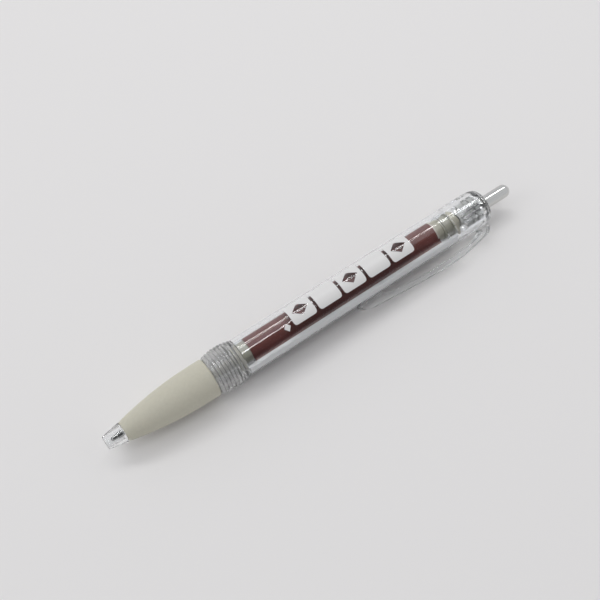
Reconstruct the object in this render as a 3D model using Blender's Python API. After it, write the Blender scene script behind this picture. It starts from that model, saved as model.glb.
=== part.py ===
"""A clear push-button ballpoint with a pull-out banner rolled up inside its barrel.

The pen lies on a flat surface with its nose towards -X, its button towards +X and its clip turned
down on the -Y side. Every piece is modelled along X from the front edge of the nose, and one empty
then puts the whole pen over the origin. Lengths are in metres.
"""

import math

import bmesh
import bpy
from mathutils import Matrix, Vector

MM = 0.001
SIDES = 32
SMALL_SIDES = 24
TOOTH_SIDES = 16
COIL_SIDES = 10
SHARP_ANGLE = math.radians(35)

# Lengths along the pen.
NOSE_CONE_LENGTH = 5.7 * MM
GRIP_LENGTH = 28.5 * MM
GRIP_STRAIGHT = 4.0 * MM
RING_LENGTH = 9.6 * MM
BARREL_LENGTH = 76.4 * MM
CAP_LENGTH = 13.9 * MM
BUTTON_PROUD = 11.1 * MM
PRESS_TRAVEL = 5.0 * MM
LATCH_OVERTRAVEL = 0.2 * MM

# Clearances.
RUN_GAP = 0.05 * MM
FIT_GAP = 0.10 * MM
REST_GAP = 0.30 * MM
SPRING_PLAY = 0.155 * MM
REFILL_PLAY = 0.15 * MM
ROLL_CLEARANCE = 0.20 * MM

# The refill and its point.
REFILL_RADIUS = 1.5 * MM
REFILL_WALL = 0.30 * MM
BALL_RADIUS = 0.50 * MM
BALL_PROUD = 0.40 * MM
POINT_SETBACK = 1.9 * MM
POINT_CONE_LENGTH = 4.2 * MM
POINT_SHANK = 4.2 * MM
POINT_LIP = 0.05 * MM
INK_CHANNEL_RADIUS = 0.30 * MM
INK_LENGTH = 88.0 * MM
STOP_LENGTH = 1.0 * MM

# The spool, from its rewind spring outwards. Its axis is set back from the slot.
SPOOL_OFFSET = 0.8 * MM
REWIND_WIRE = 0.24 * MM
REWIND_TURNS = 8
REWIND_LENGTH = 9.0 * MM
CORE_WALL = 0.45 * MM
ROLL_THICKNESS = 0.45 * MM
ROLL_MARGIN = 3.2 * MM
ROLL_REAR_MARGIN = 5.2 * MM
WEB_THICKNESS = 0.10 * MM
BUSH_SPIGOT = 3.7 * MM
BUSH_FLANGE = 1.3 * MM
REAR_COLLAR_OFFSET = 0.5 * MM

# The barrel, its slot and the strip that closes it.
BARREL_WALL = 1.10 * MM
SLOT_WIDTH = 2.4 * MM
STRIP_PROUD = 0.15 * MM
KEEL_WIDTH = 1.2 * MM
KEEL_DEPTH = 0.75 * MM
SPIGOT_LENGTH = 2.8 * MM
SLOT_TURN = math.radians(77)

# The front section.
NOSE_TIP_RADIUS = 2.0 * MM
NOSE_WALL = 0.70 * MM
GRIP_LIP = 0.65 * MM
GRIP_WALL = 1.20 * MM
RETURN_WIRE = 0.40 * MM
RETURN_TURNS = 11
SPRING_SEAT = 12.0 * MM
RETURN_LENGTH = 16.0 * MM
THREAD_LENGTH = 6.8 * MM
THREAD_WALL = 1.60 * MM
THREAD_DEPTH = 0.20 * MM
THREAD_PITCH = 1.2 * MM

# The ribbed ring.
RING_STEP = 0.10 * MM
RING_SWELL = 0.75 * MM
RIB_COUNT = 9
RIB_DEPTH = 0.16 * MM
RING_WEB = 1.2 * MM

# The cap and the click mechanism.
CAP_SWELL = 0.15 * MM
CAP_SWELL_AT = 5.84 * MM
CAP_SHOULDER = 1.2 * MM
CAP_END_WALL = 2.3 * MM
GROOVE_COUNT = 8
GROOVE_WIDTH = 1.2 * MM
FIN_COUNT = 4
FIN_WIDTH = 0.8 * MM
FIN_LENGTH = 1.2 * MM
CUP_WALL = 0.60 * MM
CUP_DEPTH = 2.5 * MM
ROTOR_LENGTH = 5.4 * MM
TOOTH_HEIGHT = 0.5 * MM
BUTTON_WALL = 0.45 * MM
BUTTON_BORE_DEPTH = 7.0 * MM
STEM_FIT_LENGTH = 6.5 * MM

# The clip, whose arm bows out and comes back to a pad on the barrel.
CLIP_TURN = math.radians(117.5)
CLIP_LENGTH = 50.1 * MM
CLIP_SETBACK = 1.8 * MM
CLIP_WIDTH = 4.2 * MM
CLIP_BOW = 4.65 * MM
CLIP_BOW_AT = 32.565 * MM
CLIP_ARM = 1.60 * MM
CLIP_ARM_REAR = 2.16 * MM
CLIP_ARM_FRONT = 1.84 * MM
CLIP_PAD_LENGTH = 8.0 * MM
CLIP_PAD_HEIGHT = 2.9 * MM
CLIP_ROOT_LENGTH = 3.2 * MM
CLIP_ROUND = 0.45 * MM
CLIP_EDGE_ANGLE = math.radians(50)

# Stations along X.
GRIP_START = NOSE_CONE_LENGTH
RING_START = GRIP_START + GRIP_LENGTH
BARREL_START = RING_START + RING_LENGTH
CAP_START = BARREL_START + BARREL_LENGTH
CAP_END = CAP_START + CAP_LENGTH
BUTTON_END = CAP_END + BUTTON_PROUD
GRIP_FULL = RING_START - GRIP_STRAIGHT

# Radii worked out from the inside of the pen outwards.
REFILL_BORE = REFILL_RADIUS - REFILL_WALL
STEM_RADIUS = REFILL_BORE - RUN_GAP
CORE_BORE = SPOOL_OFFSET + REFILL_RADIUS + REWIND_WIRE + 2 * SPRING_PLAY
CORE_RADIUS = CORE_BORE + CORE_WALL
ROLL_RADIUS = CORE_RADIUS + ROLL_THICKNESS
BARREL_BORE = SPOOL_OFFSET + ROLL_RADIUS + ROLL_CLEARANCE
BARREL_RADIUS = BARREL_BORE + BARREL_WALL
SPIGOT_RADIUS = BARREL_BORE - FIT_GAP
SPIGOT_BORE = SPOOL_OFFSET + CORE_RADIUS + FIT_GAP
BUSH_HOLE = REFILL_RADIUS + FIT_GAP
NOSE_BORE = REFILL_RADIUS + REFILL_PLAY
NOSE_CONE_RADIUS = NOSE_BORE + NOSE_WALL + GRIP_LIP
RETURN_RADIUS = REFILL_RADIUS + 2 * RUN_GAP + RETURN_WIRE / 2
SLEEVE_BORE = RETURN_RADIUS + RETURN_WIRE / 2 + REST_GAP
THREAD_RADIUS = SLEEVE_BORE + THREAD_WALL
THREAD_BORE = THREAD_RADIUS + THREAD_DEPTH + FIT_GAP
ROTOR_RADIUS = REFILL_RADIUS + RUN_GAP + CUP_WALL
BUTTON_RADIUS = ROTOR_RADIUS
GUIDE_BORE = ROTOR_RADIUS + 2 * FIT_GAP
FIN_RADIUS = SPIGOT_BORE - REST_GAP

# Places inside the pen.
CORE_START = BARREL_START + FIT_GAP
COLLAR_START = CAP_START - SPIGOT_LENGTH
CORE_END = COLLAR_START - FIT_GAP
ROLL_START = BARREL_START + ROLL_MARGIN
ROLL_END = CAP_START - ROLL_REAR_MARGIN
RING_CAVITY = BARREL_START - BUSH_FLANGE - REST_GAP
PLUNGER_END = CAP_END - CAP_END_WALL - REST_GAP
ROTOR_END = PLUNGER_END - FIN_LENGTH - REST_GAP - TOOTH_HEIGHT
ROTOR_START = ROTOR_END - ROTOR_LENGTH
COLLAR_END = ROTOR_END - FIN_LENGTH - PRESS_TRAVEL - REST_GAP
GROOVE_START = ROTOR_END - PRESS_TRAVEL + LATCH_OVERTRAVEL
REFILL_START = POINT_SETBACK + POINT_CONE_LENGTH + PRESS_TRAVEL + 2 * REST_GAP
REFILL_END = ROTOR_START + CUP_DEPTH - REST_GAP
STOP_START = SPRING_SEAT + RETURN_LENGTH + 2 * REST_GAP


def clear_scene():
    for obj in list(bpy.data.objects):
        bpy.data.objects.remove(obj, do_unlink=True)


def material(name, color, roughness, metallic=0.0, transmission=0.0, alpha=1.0):
    made = bpy.data.materials.new(name)
    made.use_nodes = True
    shader = made.node_tree.nodes["Principled BSDF"]
    shader.inputs["Base Color"].default_value = (*color, 1.0)
    shader.inputs["Roughness"].default_value = roughness
    shader.inputs["Metallic"].default_value = metallic
    shader.inputs["Transmission Weight"].default_value = transmission
    shader.inputs["Alpha"].default_value = alpha
    return made


def clear_plastic(name):
    return material(name, (0.92, 0.94, 0.95), 0.05, transmission=1.0)


def finished(name, mesh_builder, surface, cutter=False):
    """An object from a bmesh, with its faces turned outwards and its round sides shaded smooth."""
    bmesh.ops.remove_doubles(mesh_builder, verts=mesh_builder.verts, dist=1e-7)
    bmesh.ops.recalc_face_normals(mesh_builder, faces=mesh_builder.faces)
    mesh = bpy.data.meshes.new(name)
    mesh_builder.to_mesh(mesh)
    mesh_builder.free()
    mesh.shade_smooth()
    mesh.set_sharp_from_angle(angle=SHARP_ANGLE)
    obj = bpy.data.objects.new(name, mesh)
    bpy.context.scene.collection.objects.link(obj)
    if cutter:
        obj.hide_render = True
        obj.display_type = "WIRE"
    else:
        obj.data.materials.append(surface)
    return obj


def spun(outline, sides=SIDES):
    """A bmesh turned about the X axis. The outline is a closed loop of (x, radius) points."""
    work = bmesh.new()
    corners = [work.verts.new((x, 0.0, radius)) for x, radius in outline]
    edges = []
    for first, second in zip(corners, corners[1:] + corners[:1]):
        on_axis = first.co.z < 1e-9 and second.co.z < 1e-9
        if not on_axis:
            edges.append(work.edges.new((first, second)))
    bmesh.ops.spin(
        work,
        geom=corners + edges,
        cent=(0, 0, 0),
        axis=(1, 0, 0),
        angle=2 * math.pi,
        steps=sides,
        use_merge=True,
    )
    return work


def turned(name, outline, surface, sides=SIDES, cutter=False):
    return finished(name, spun(outline, sides), surface, cutter)


def extruded(name, outline, start, end, surface, cutter=False):
    """A closed (y, z) outline drawn along X from start to end."""
    work = bmesh.new()
    front = work.faces.new([work.verts.new((start, y, z)) for y, z in outline])
    run = bmesh.ops.extrude_face_region(work, geom=[front])
    moved = [part for part in run["geom"] if isinstance(part, bmesh.types.BMVert)]
    bmesh.ops.translate(work, verts=moved, vec=(end - start, 0, 0))
    return finished(name, work, surface, cutter)


def boolean(obj, other, operation):
    cut = obj.modifiers.new(f"{operation.lower()}_{other.name}", "BOOLEAN")
    cut.operation = operation
    cut.solver = "EXACT"
    cut.object = other


def arc(radius, start, end, steps, center=(0.0, 0.0)):
    """Points on a circle, angles measured from the outline's second axis towards its first."""
    angles = (start + (end - start) * step / steps for step in range(steps + 1))
    return [
        (center[0] + radius * math.sin(angle), center[1] + radius * math.cos(angle))
        for angle in angles
    ]


def smooth_line(points, steps):
    """A Catmull-Rom curve through the points, with this many steps between two of them."""
    ends = [points[0]] + points + [points[-1]]
    line = []
    for before, first, second, after in zip(ends, ends[1:], ends[2:], ends[3:]):
        for step in range(steps):
            t = step / steps
            line.append(
                tuple(
                    0.5
                    * (
                        2 * b
                        + (c - a) * t
                        + (2 * a - 5 * b + 4 * c - d) * t**2
                        + (3 * b - a - 3 * c + d) * t**3
                    )
                    for a, b, c, d in zip(before, first, second, after)
                )
            )
    return line + [points[-1]]


def coil(name, radius, wire, turns, start, end, surface):
    """A round-wire helix along X, whose origin lies on its own axis."""
    curve = bpy.data.curves.new(name, "CURVE")
    curve.dimensions = "3D"
    curve.bevel_depth = wire / 2
    curve.bevel_resolution = 1
    curve.use_fill_caps = True
    count = turns * COIL_SIDES
    spline = curve.splines.new("POLY")
    spline.points.add(count)
    for index, point in enumerate(spline.points):
        angle = 2 * math.pi * index / COIL_SIDES
        along = start + wire / 2 + (end - start - wire) * index / count
        point.co = (along, radius * math.sin(angle), radius * math.cos(angle), 1.0)
    obj = bpy.data.objects.new(name, curve)
    bpy.context.scene.collection.objects.link(obj)
    curve.materials.append(surface)
    return obj


def slot_way(distance):
    """The point this far from the pen's axis towards the middle of the slot."""
    return Vector((0, -math.sin(SLOT_TURN), math.cos(SLOT_TURN))) * distance


def grip_radius(x):
    """The rubber grip's outer radius: straight at the back, then falling away as a parabola."""
    short = max(0.0, GRIP_FULL - x) / (GRIP_FULL - GRIP_START)
    return BARREL_RADIUS - (BARREL_RADIUS - NOSE_CONE_RADIUS) * short**2


def sleeve_radius(x):
    """The outside of the nose section under the grip, whose rubber thickens towards the back."""
    share = min(1.0, (x - GRIP_START) / (GRIP_FULL - GRIP_START))
    return grip_radius(x) - GRIP_LIP - (GRIP_WALL - GRIP_LIP) * share


def grip_stations(start, end, steps):
    return [start + (end - start) * step / steps for step in range(steps + 1)]


def nose_section(surface):
    """The clear cone, the sleeve under the grip and the threaded end that screws into the ring."""
    sleeve = [(x, sleeve_radius(x)) for x in grip_stations(GRIP_START, GRIP_FULL, 6)]
    sleeve_end = RING_START - REST_GAP
    thread_end = RING_START + THREAD_LENGTH
    ridge_count = int((THREAD_LENGTH - THREAD_PITCH) / THREAD_PITCH)
    thread = [(RING_START, THREAD_RADIUS)]
    for ridge in range(ridge_count):
        middle = RING_START + (ridge + 1) * THREAD_PITCH
        thread += [
            (middle - THREAD_PITCH / 3, THREAD_RADIUS),
            (middle, THREAD_RADIUS + THREAD_DEPTH),
            (middle + THREAD_PITCH / 3, THREAD_RADIUS),
        ]
    outline = [
        (0.0, STEM_RADIUS + FIT_GAP),
        (0.0, NOSE_TIP_RADIUS - FIT_GAP),
        (FIT_GAP, NOSE_TIP_RADIUS),
        (GRIP_START, NOSE_CONE_RADIUS),
        *sleeve,
        (sleeve_end, sleeve_radius(sleeve_end)),
        (sleeve_end, THREAD_RADIUS),
        *thread,
        (thread_end, THREAD_RADIUS),
        (thread_end, SLEEVE_BORE),
        (SPRING_SEAT, SLEEVE_BORE),
        (SPRING_SEAT, NOSE_BORE),
        (GRIP_START, NOSE_BORE),
        (GRIP_START - REST_GAP, STEM_RADIUS + FIT_GAP),
    ]
    return turned("nose_section", outline, surface)


def rubber_grip(surface):
    outer = [(x, grip_radius(x)) for x in grip_stations(GRIP_START + FIT_GAP, GRIP_FULL, 10)]
    inner = [
        (x, sleeve_radius(x) + RUN_GAP)
        for x in grip_stations(GRIP_START + FIT_GAP, GRIP_FULL, 6)
    ]
    back = RING_START - REST_GAP
    outline = [
        *outer,
        (back, BARREL_RADIUS),
        (back, sleeve_radius(back) + RUN_GAP),
        *reversed(inner),
    ]
    return turned("rubber_grip", outline, surface)


def ring_ribs():
    """Crests and valleys along the ring, on an arc that swells to its middle."""
    points = []
    for step in range(2 * RIB_COUNT + 1):
        share = step / (2 * RIB_COUNT)
        swell = RING_STEP + RING_SWELL * (1 - (2 * share - 1) ** 2)
        depth = 0.0 if step % 2 else RIB_DEPTH
        points.append((RING_START + share * RING_LENGTH, BARREL_RADIUS + swell - depth))
    return points


def ribbed_ring(surface):
    """The collar between grip and barrel: a thread in front and a spigot for the barrel behind."""
    spigot_end = BARREL_START + SPIGOT_LENGTH
    web = RING_CAVITY - RING_WEB
    outline = [
        *ring_ribs(),
        (BARREL_START, SPIGOT_RADIUS),
        (spigot_end, SPIGOT_RADIUS),
        (spigot_end, SPIGOT_BORE),
        (RING_CAVITY, SPIGOT_BORE),
        (RING_CAVITY, NOSE_BORE + REST_GAP),
        (web, NOSE_BORE + REST_GAP),
        (web, THREAD_BORE),
        (RING_START, THREAD_BORE),
    ]
    return turned("ribbed_ring", outline, surface)


def spool_spigot(name, start, end, surface, cutter=False):
    """The round peg that a spool end turns on, about the spool's own axis."""
    radius = CORE_BORE - RUN_GAP
    peg = turned(name, [(start, 0.0), (start, radius), (end, radius), (end, 0.0)], surface, cutter=cutter)
    peg.location = slot_way(-SPOOL_OFFSET)
    return peg


def bored(name, start, end, radius):
    """A cutter for a round hole along the pen's axis."""
    outline = [(start, 0.0), (start, radius), (end, radius), (end, 0.0)]
    return turned(name, outline, None, cutter=True)


def front_bush(surface):
    """A flange held in the ring, with the peg that carries the front of the spool."""
    start = BARREL_START - BUSH_FLANGE
    radius = SPIGOT_BORE - RUN_GAP
    outline = [(start, 0.0), (start, radius), (BARREL_START, radius), (BARREL_START, 0.0)]
    flange = turned("front_bush", outline, surface)
    peg_end = BARREL_START + BUSH_SPIGOT
    boolean(flange, spool_spigot("front_peg", start + FIT_GAP, peg_end, None, True), "UNION")
    boolean(flange, bored("front_bush_hole", start - REST_GAP, peg_end + REST_GAP, BUSH_HOLE), "DIFFERENCE")
    return flange


def rear_bush(surface):
    """The peg for the back of the spool, and the collar and flange that sit in the cap."""
    outline = [
        (COLLAR_START, 0.0),
        (COLLAR_START, CORE_RADIUS),
        (COLLAR_END, CORE_RADIUS),
        (COLLAR_END, 0.0),
    ]
    collar = turned("rear_bush", outline, surface)
    collar.location = slot_way(-REAR_COLLAR_OFFSET)
    flange_start = CAP_START + REST_GAP
    radius = SPIGOT_BORE - RUN_GAP
    flange = turned(
        "rear_flange",
        [
            (flange_start, 0.0),
            (flange_start, radius),
            (flange_start + BUSH_FLANGE, radius),
            (flange_start + BUSH_FLANGE, 0.0),
        ],
        None,
        cutter=True,
    )
    peg_start = COLLAR_START - BUSH_SPIGOT
    rotor_room = ROTOR_START - PRESS_TRAVEL - REST_GAP
    boolean(collar, flange, "UNION")
    boolean(collar, spool_spigot("rear_peg", peg_start, COLLAR_START + REST_GAP, None, True), "UNION")
    boolean(collar, bored("rear_bush_hole", peg_start - REST_GAP, ROTOR_END, BUSH_HOLE), "DIFFERENCE")
    boolean(collar, bored("rotor_room", rotor_room, ROTOR_END, GUIDE_BORE), "DIFFERENCE")
    return collar


def slotted_outline(outer, inner, slot):
    """A ring cut through by a parallel slot at its top, as one closed outline."""
    outer_edge = math.asin(slot / 2 / outer)
    inner_edge = math.asin(slot / 2 / inner)
    steps = SIDES + SIDES // 2
    around = arc(outer, outer_edge, 2 * math.pi - outer_edge, steps)
    return around + arc(inner, 2 * math.pi - inner_edge, inner_edge, steps)


def barrel(surface):
    outline = slotted_outline(BARREL_RADIUS, BARREL_BORE, SLOT_WIDTH)
    tube = extruded("barrel", outline, BARREL_START + FIT_GAP, CAP_START - FIT_GAP, surface)
    tube.rotation_euler.x = SLOT_TURN
    return tube


def core_tube(surface):
    outline = [
        (CORE_START, CORE_BORE),
        (CORE_START, CORE_RADIUS),
        (CORE_END, CORE_RADIUS),
        (CORE_END, CORE_BORE),
    ]
    tube = turned("core_tube", outline, surface)
    tube.location = slot_way(-SPOOL_OFFSET)
    return tube


def banner_roll(surface):
    outline = [
        (ROLL_START, CORE_RADIUS + RUN_GAP),
        (ROLL_START, ROLL_RADIUS),
        (ROLL_END, ROLL_RADIUS),
        (ROLL_END, CORE_RADIUS + RUN_GAP),
    ]
    roll = turned("banner_roll", outline, surface)
    roll.location = slot_way(-SPOOL_OFFSET)
    return roll


def keel_bottom():
    return SPIGOT_RADIUS + 2 * FIT_GAP - KEEL_DEPTH


def banner_web(surface):
    """The free film from the roll's side to the strip's keel, which lengthens as the strip is pulled."""
    top = keel_bottom() - REST_GAP
    reach = top + SPOOL_OFFSET
    radius = ROLL_RADIUS + FIT_GAP
    leaving = math.acos(radius / reach)
    side = Vector((math.sin(leaving), math.cos(leaving)))
    foot = side * radius - Vector((0.0, SPOOL_OFFSET))
    thickness = side * WEB_THICKNESS
    head = Vector((0.0, top))
    outline = [tuple(foot), tuple(head), tuple(head + thickness), tuple(foot + thickness)]
    web = extruded("banner_web", outline, ROLL_START, ROLL_END, surface)
    web.rotation_euler.x = SLOT_TURN
    return web


def pull_strip(surface):
    """The bar that fills the slot, with a keel under it that the banner's end is fixed to."""
    half = SLOT_WIDTH / 2 - FIT_GAP
    low = SPIGOT_RADIUS + 2 * FIT_GAP
    top = BARREL_RADIUS + STRIP_PROUD
    edge = math.asin(half / top)
    bar = [(-half, low), *arc(top, -edge, edge, 4), (half, low)]
    strip = extruded("pull_strip", bar, BARREL_START + REST_GAP, CAP_START - REST_GAP, surface)
    strip.rotation_euler.x = SLOT_TURN
    keel_half = KEEL_WIDTH / 2
    keel_outline = [
        (-keel_half, keel_bottom()),
        (-keel_half, low + FIT_GAP),
        (keel_half, low + FIT_GAP),
        (keel_half, keel_bottom()),
    ]
    keel = extruded("keel", keel_outline, ROLL_START, ROLL_END, None, cutter=True)
    keel.rotation_euler.x = SLOT_TURN
    boolean(strip, keel, "UNION")
    return strip


def rewind_spring(surface):
    start = BARREL_START + BUSH_SPIGOT + REST_GAP
    radius = CORE_BORE - SPRING_PLAY - REWIND_WIRE / 2
    spring = coil("rewind_spring", radius, REWIND_WIRE, REWIND_TURNS, start, start + REWIND_LENGTH, surface)
    spring.location = slot_way(-SPOOL_OFFSET)
    return spring


def return_spring(surface):
    start = SPRING_SEAT + REST_GAP
    end = start + RETURN_LENGTH
    return coil("return_spring", RETURN_RADIUS, RETURN_WIRE, RETURN_TURNS, start, end, surface)


def refill_tube(surface):
    """The ink tube, with the collar that the return spring pushes on."""
    stop_radius = RETURN_RADIUS + RETURN_WIRE / 2
    stop_end = STOP_START + STOP_LENGTH
    outline = [
        (REFILL_START, REFILL_BORE),
        (REFILL_START, REFILL_RADIUS),
        (STOP_START, REFILL_RADIUS),
        (STOP_START, stop_radius),
        (stop_end, stop_radius),
        (stop_end, REFILL_RADIUS),
        (REFILL_END, REFILL_RADIUS),
        (REFILL_END, REFILL_BORE),
    ]
    return turned("refill_tube", outline, surface, sides=SMALL_SIDES)


def ink_column(surface):
    start = REFILL_START + POINT_SHANK + REST_GAP
    radius = REFILL_BORE - RUN_GAP
    outline = [(start, 0.0), (start, radius), (start + INK_LENGTH, radius), (start + INK_LENGTH, 0.0)]
    return turned("ink_column", outline, surface, sides=SMALL_SIDES)


def refill_point(surface):
    """The metal cone that holds the ball, with its shank in the tube and an ink channel through it."""
    front = POINT_SETBACK + BALL_PROUD
    socket = BALL_RADIUS + RUN_GAP / 2
    socket_end = POINT_SETBACK + 2 * BALL_RADIUS + RUN_GAP
    cone_end = POINT_SETBACK + POINT_CONE_LENGTH
    shank_end = REFILL_START + POINT_SHANK
    outline = [
        (front, socket),
        (front, socket + POINT_LIP),
        (cone_end, STEM_RADIUS),
        (shank_end, STEM_RADIUS),
        (shank_end, INK_CHANNEL_RADIUS),
        (socket_end + REST_GAP, INK_CHANNEL_RADIUS),
        (socket_end, socket),
    ]
    return turned("refill_point", outline, surface, sides=SMALL_SIDES)


def writing_ball(surface):
    work = bmesh.new()
    bmesh.ops.create_uvsphere(work, u_segments=16, v_segments=10, radius=BALL_RADIUS)
    ball = finished("writing_ball", work, surface)
    ball.location = (POINT_SETBACK + BALL_RADIUS, 0, 0)
    return ball


def cap_outline():
    """The cap's outside: a slight swell, then a rounded shoulder down to its flat end."""
    swell = CAP_START + CAP_SWELL_AT
    shoulder = CAP_END - CAP_SHOULDER
    side = smooth_line(
        [
            (CAP_START, BARREL_RADIUS),
            (swell, BARREL_RADIUS + CAP_SWELL),
            (shoulder - CAP_SHOULDER, BARREL_RADIUS),
            (shoulder, BARREL_RADIUS - CAP_SHOULDER / 4),
        ],
        3,
    )
    top = BARREL_RADIUS - CAP_SHOULDER / 4
    end = arc(CAP_SHOULDER, 0.0, math.pi / 2, 4, (shoulder, top - CAP_SHOULDER))
    return side + end[1:]


def splined_outline(root, tip, count, width):
    """A round shape with parallel-sided splines standing out of it, as one closed outline."""
    points = []
    root_edge = math.asin(width / 2 / root)
    tip_edge = math.asin(width / 2 / tip)
    for index in range(count):
        middle = 2 * math.pi * index / count
        points += arc(tip, middle - tip_edge, middle + tip_edge, 2)
        points.insert(len(points) - 3, arc(root, middle - root_edge, middle, 1)[0])
        points += arc(root, middle + root_edge, middle + 2 * math.pi / count - root_edge, 2)[:-1]
    return points


def cap(surface):
    """The clear cap: a spigot for the barrel, a grooved guide for the click parts and an end wall."""
    cavity_start = CAP_START - SPIGOT_LENGTH
    end_wall = CAP_END - CAP_END_WALL
    outline = [
        (cavity_start, 0.0),
        (cavity_start, SPIGOT_RADIUS),
        (CAP_START, SPIGOT_RADIUS),
        *cap_outline(),
        (CAP_END, 0.0),
    ]
    shell = turned("cap", outline, surface)
    grooves = extruded(
        "cap_grooves",
        splined_outline(GUIDE_BORE, SPIGOT_BORE, GROOVE_COUNT, GROOVE_WIDTH),
        GROOVE_START - REST_GAP,
        end_wall,
        None,
        cutter=True,
    )
    boolean(shell, grooves, "DIFFERENCE")
    boolean(shell, bored("cap_cavity", cavity_start - REST_GAP, GROOVE_START, SPIGOT_BORE), "DIFFERENCE")
    hole = bored("button_hole", end_wall - REST_GAP, CAP_END + REST_GAP, BUTTON_RADIUS + FIT_GAP)
    boolean(shell, hole, "DIFFERENCE")
    return shell


def toothed(work, station, radius, height):
    """Moves every second corner of one rim along X, which makes a crown of pointed teeth."""
    for corner in work.verts:
        on_rim = abs(corner.co.x - station) < 1e-7 and corner.co.yz.length > radius - 1e-6
        if on_rim:
            turn = math.atan2(corner.co.y, corner.co.z) / (2 * math.pi)
            if round(turn * TOOTH_SIDES) % 2:
                corner.co.x += height
    return work


def fins(name, start, end):
    outline = splined_outline(ROTOR_RADIUS - FIT_GAP, FIN_RADIUS, FIN_COUNT, FIN_WIDTH)
    return extruded(name, outline, start, end, None, cutter=True)


def cam_rotor(surface):
    """The piece that pushes the refill: a cup in front, four fins, and teeth facing the plunger."""
    cup = REFILL_RADIUS + RUN_GAP
    outline = [
        (ROTOR_START, cup),
        (ROTOR_START, ROTOR_RADIUS),
        (ROTOR_END, ROTOR_RADIUS),
        (ROTOR_END + TOOTH_HEIGHT / 2, 0.0),
        (ROTOR_START + CUP_DEPTH, 0.0),
        (ROTOR_START + CUP_DEPTH, cup),
    ]
    work = toothed(spun(outline, TOOTH_SIDES), ROTOR_END, ROTOR_RADIUS, TOOTH_HEIGHT)
    rotor = finished("cam_rotor", work, surface)
    boolean(rotor, fins("rotor_fins", ROTOR_END - FIN_LENGTH, ROTOR_END - FIT_GAP), "UNION")
    return rotor


def cam_plunger(surface):
    """The toothed piece between button and rotor, with its stem inside the button."""
    start = ROTOR_END + REST_GAP
    stem = BUTTON_RADIUS - BUTTON_WALL - FIT_GAP
    outline = [
        (start + TOOTH_HEIGHT / 2, 0.0),
        (start, ROTOR_RADIUS),
        (PLUNGER_END, ROTOR_RADIUS),
        (PLUNGER_END, stem),
        (PLUNGER_END + STEM_FIT_LENGTH, stem),
        (PLUNGER_END + STEM_FIT_LENGTH, 0.0),
    ]
    work = toothed(spun(outline, TOOTH_SIDES), start, ROTOR_RADIUS, TOOTH_HEIGHT)
    plunger = finished("cam_plunger", work, surface)
    boolean(plunger, fins("plunger_fins", start + TOOTH_HEIGHT + FIT_GAP, PLUNGER_END - FIT_GAP), "UNION")
    return plunger


def push_button(surface):
    """A metal tube with a rounded end, fitted over the plunger's stem."""
    start = PLUNGER_END + REST_GAP
    bore = BUTTON_RADIUS - BUTTON_WALL
    bore_end = start + BUTTON_BORE_DEPTH
    dome = arc(BUTTON_RADIUS, 0.0, math.pi / 2, 8, (BUTTON_END - BUTTON_RADIUS, 0.0))
    outline = [
        (start, bore),
        (start, BUTTON_RADIUS),
        *dome[:-1],
        (BUTTON_END, 0.0),
        (bore_end, 0.0),
        (bore_end, bore),
    ]
    return turned("push_button", outline, surface, sides=SMALL_SIDES)


def clip_outline():
    """The clip seen from its side, as (x, distance from the pen's axis) points from tip to root."""
    end = CAP_END - CLIP_SETBACK
    tip = end - CLIP_LENGTH
    seat = BARREL_RADIUS + REST_GAP
    bow = BARREL_RADIUS + CLIP_BOW
    pad_top = BARREL_RADIUS + CLIP_PAD_HEIGHT
    pad_end = tip + CLIP_PAD_LENGTH
    root = end - CLIP_ROOT_LENGTH
    bow_at = tip + CLIP_BOW_AT
    outer = smooth_line(
        [
            (tip, seat + REST_GAP),
            (tip + CLIP_PAD_LENGTH / 4, pad_top - 2 * REST_GAP),
            (pad_end, pad_top + REST_GAP),
            (bow_at, bow),
            (root, bow - CLIP_ARM),
            (end, seat + CLIP_ARM / 2),
        ],
        4,
    )
    inner = smooth_line(
        [
            (root, seat + CLIP_ARM / 2),
            (bow_at + CLIP_PAD_LENGTH, bow - CLIP_ARM_REAR),
            (bow_at - CLIP_PAD_LENGTH, bow - CLIP_ARM_FRONT),
            (pad_end + CLIP_ARM, pad_top - CLIP_ARM),
        ],
        4,
    )
    foot = [(end - REST_GAP, seat), (root, seat)]
    pad = [(pad_end, seat), (tip + REST_GAP, seat)]
    return outer + foot + inner + pad


def clip(surface):
    """The arm, drawn out to its width, with its edges rounded."""
    work = bmesh.new()
    half = CLIP_WIDTH / 2
    face = work.faces.new([work.verts.new((x, -half, z)) for x, z in clip_outline()])
    run = bmesh.ops.extrude_face_region(work, geom=[face])
    moved = [part for part in run["geom"] if isinstance(part, bmesh.types.BMVert)]
    bmesh.ops.translate(work, verts=moved, vec=(0, CLIP_WIDTH, 0))
    hinge = (CAP_END - CLIP_SETBACK - CLIP_ROOT_LENGTH / 2, 0, BARREL_RADIUS + REST_GAP)
    bmesh.ops.transform(work, matrix=Matrix.Translation(-Vector(hinge)), verts=work.verts)
    made = finished("clip", work, surface)
    made.matrix_world = Matrix.Rotation(CLIP_TURN, 4, "X") @ Matrix.Translation(hinge)
    rounding = made.modifiers.new("rounded_edges", "BEVEL")
    rounding.width = CLIP_ROUND
    rounding.segments = 2
    rounding.limit_method = "ANGLE"
    rounding.angle_limit = CLIP_EDGE_ANGLE
    return made


def world_corners(objects):
    """The lowest and highest coordinates of the evaluated objects."""
    bpy.context.view_layer.update()
    graph = bpy.context.evaluated_depsgraph_get()
    low, high = Vector((math.inf,) * 3), Vector((-math.inf,) * 3)
    for obj in objects:
        evaluated = obj.evaluated_get(graph)
        for corner in evaluated.to_mesh().vertices:
            place = evaluated.matrix_world @ corner.co
            low = Vector(map(min, low, place))
            high = Vector(map(max, high, place))
        evaluated.to_mesh_clear()
    return low, high


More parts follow.
